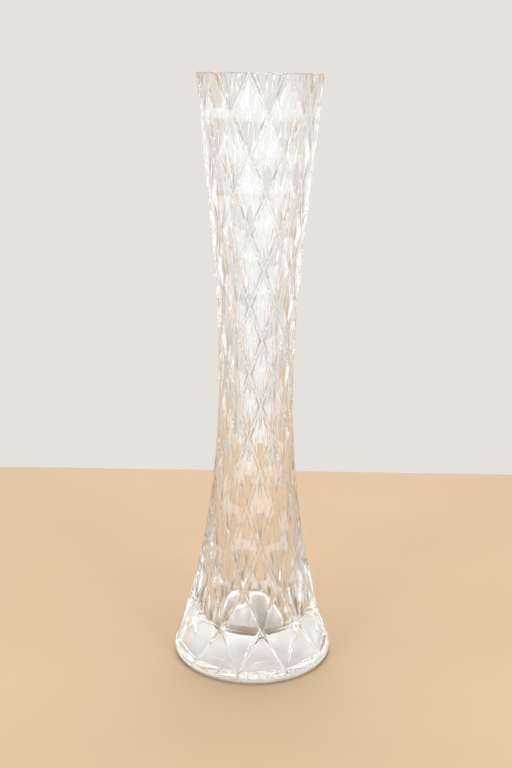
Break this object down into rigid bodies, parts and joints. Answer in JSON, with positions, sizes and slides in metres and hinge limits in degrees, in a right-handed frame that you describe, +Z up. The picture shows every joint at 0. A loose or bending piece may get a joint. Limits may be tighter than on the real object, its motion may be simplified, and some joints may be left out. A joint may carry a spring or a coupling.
{
  "type": "bud vase",
  "caption": "Tall hourglass bud vase in clear cut crystal, cut all over into long diamonds, with a solid bottom and a rounded foot.",
  "frame": {"origin": "centre of the surface that the vase stands on", "axes": "+Z up through the mouth; a diamond corner of every second row faces -Y"},
  "size_m": [0.0636, 0.0636, 0.23],
  "materials": {
    "crystal": "clear cut crystal, polished all over"
  },
  "bodies": {
    "root": {"vase_body": "crystal"}
  },
  "joints": []
}
